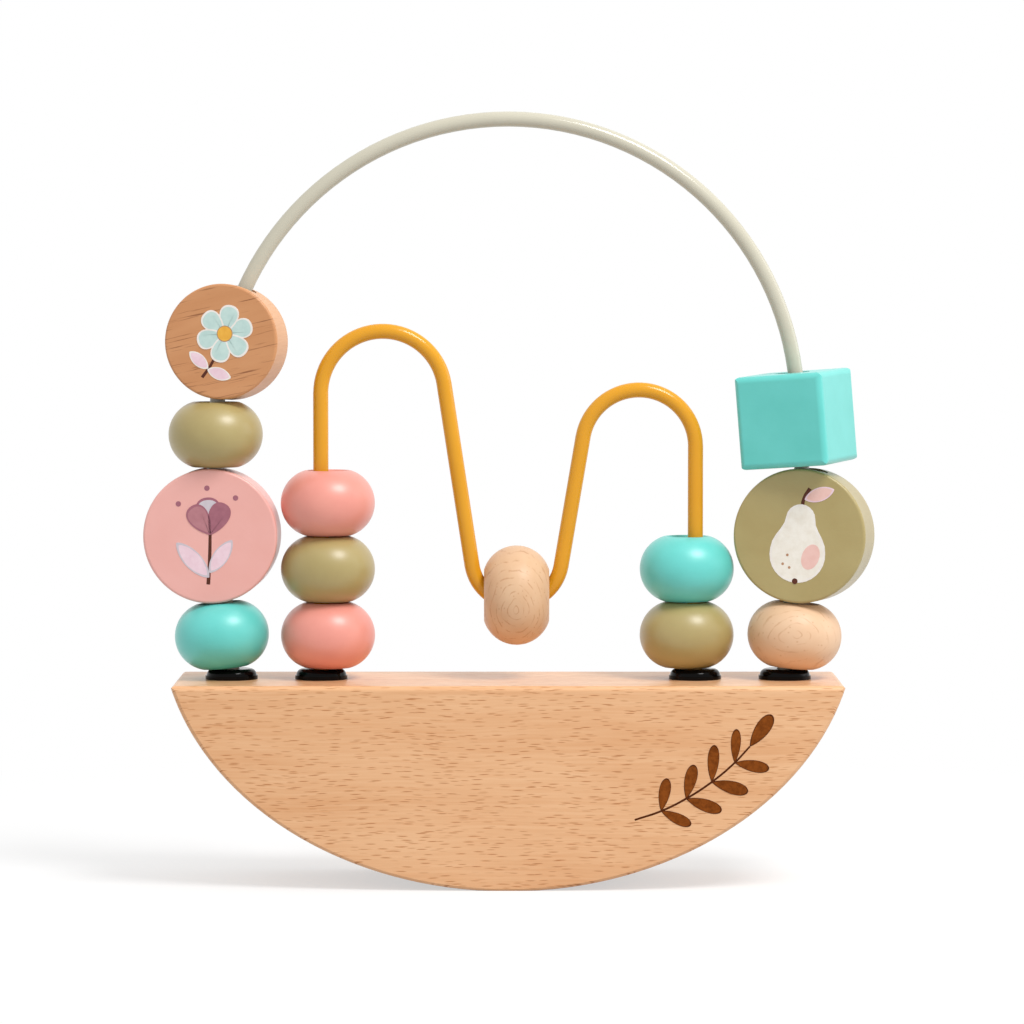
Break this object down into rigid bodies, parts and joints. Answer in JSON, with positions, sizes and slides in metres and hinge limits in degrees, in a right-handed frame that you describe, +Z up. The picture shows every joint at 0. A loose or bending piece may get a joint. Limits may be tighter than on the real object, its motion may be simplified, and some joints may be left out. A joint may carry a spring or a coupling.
{
  "type": "bead maze",
  "caption": "Curved wooden rocker base that carries bent coated wires, with wooden beads, printed discs and a cube that run and turn along them.",
  "frame": {"origin": "middle of the narrow flat under the curved sole, in the middle of the block's length and depth", "axes": "+Z up, +X to the right along the deck, -Y towards the printed front"},
  "size_m": [0.1908, 0.045, 0.201],
  "materials": {
    "beech": "fine sanded, clear satin oil",
    "natural_beech": "turned, clear satin lacquer",
    "brown_wood": "stained, satin lacquer, printed face",
    "turquoise_paint": "satin paint on wood",
    "olive_paint": "satin paint on wood",
    "coral_paint": "satin paint on wood",
    "pink_paint": "satin paint on wood, printed face",
    "grey_wire_coat": "satin coat",
    "mustard_wire_coat": "satin coat",
    "black_bush": "gloss"
  },
  "bodies": {
    "base": {"rocker_base": "beech", "outer_wire": "grey_wire_coat", "inner_wire": "mustard_wire_coat", "collar_outer_left": "black_bush", "collar_inner_left": "black_bush", "collar_inner_right": "black_bush", "collar_outer_right": "black_bush"},
    "left_leg_bead": {"left_leg_bead": "turquoise_paint"},
    "left_leg_disc": {"left_leg_disc": "pink_paint"},
    "left_arch_bead": {"left_arch_bead": "olive_paint"},
    "left_arch_disc": {"left_arch_disc": "brown_wood"},
    "right_leg_bead": {"right_leg_bead": "natural_beech"},
    "right_leg_disc": {"right_leg_disc": "olive_paint"},
    "right_arch_cube": {"right_arch_cube": "turquoise_paint"},
    "inner_left_bead_low": {"inner_left_bead_low": "coral_paint"},
    "inner_left_bead_mid": {"inner_left_bead_mid": "olive_paint"},
    "inner_left_bead_top": {"inner_left_bead_top": "coral_paint"},
    "valley_bead": {"valley_bead": "natural_beech"},
    "inner_right_bead_low": {"inner_right_bead_low": "olive_paint"},
    "inner_right_bead_top": {"inner_right_bead_top": "turquoise_paint"}
  },
  "joints": [
    {"name": "left_leg_bead_spin", "type": "hinge", "parent": "base", "child": "left_leg_bead", "pos_m": [-0.07492, 0, 0.0644], "axis": [-0.0906, 0, 0.9959], "continuous": true},
    {"name": "left_leg_disc_spin", "type": "hinge", "parent": "base", "child": "left_leg_disc", "pos_m": [-0.0773, 0, 0.09059], "axis": [-0.0906, 0, 0.9959], "continuous": true},
    {"name": "left_arch_bead_run", "type": "hinge", "parent": "base", "child": "left_arch_bead", "pos_m": [0, 0, 0.1235], "axis": [0, 1, 0], "range_deg": [0, 40]},
    {"name": "left_arch_disc_run", "type": "hinge", "parent": "left_arch_bead", "child": "left_arch_disc", "pos_m": [0, 0, 0.1235], "axis": [0, 1, 0], "range_deg": [0, 40]},
    {"name": "right_leg_bead_spin", "type": "hinge", "parent": "base", "child": "right_leg_bead", "pos_m": [0.07492, 0, 0.0644], "axis": [0.0906, 0, 0.9959], "continuous": true},
    {"name": "right_leg_disc_spin", "type": "hinge", "parent": "base", "child": "right_leg_disc", "pos_m": [0.0773, -0.0012, 0.09059], "axis": [0.0906, 0, 0.9959], "continuous": true},
    {"name": "right_arch_cube_run", "type": "hinge", "parent": "base", "child": "right_arch_cube", "pos_m": [0, 0, 0.1235], "axis": [0, -1, 0], "range_deg": [0, 50]},
    {"name": "valley_bead_swing", "type": "hinge", "parent": "base", "child": "valley_bead", "pos_m": [0.0022, 0, 0.0845], "axis": [0, 1, 0], "range_deg": [-40, 40]},
    {"name": "inner_left_low_slide", "type": "slide", "parent": "base", "child": "inner_left_bead_low", "axis": [0, 0, 1], "range_m": [0, 0.008]},
    {"name": "inner_left_mid_slide", "type": "slide", "parent": "inner_left_bead_low", "child": "inner_left_bead_mid", "axis": [0, 0, 1], "range_m": [0, 0.008]},
    {"name": "inner_left_top_slide", "type": "slide", "parent": "inner_left_bead_mid", "child": "inner_left_bead_top", "axis": [0, 0, 1], "range_m": [0, 0.009]},
    {"name": "inner_right_low_slide", "type": "slide", "parent": "base", "child": "inner_right_bead_low", "axis": [0, 0, 1], "range_m": [0, 0.008]},
    {"name": "inner_right_top_slide", "type": "slide", "parent": "inner_right_bead_low", "child": "inner_right_bead_top", "axis": [0, 0, 1], "range_m": [0, 0.012]}
  ]
}
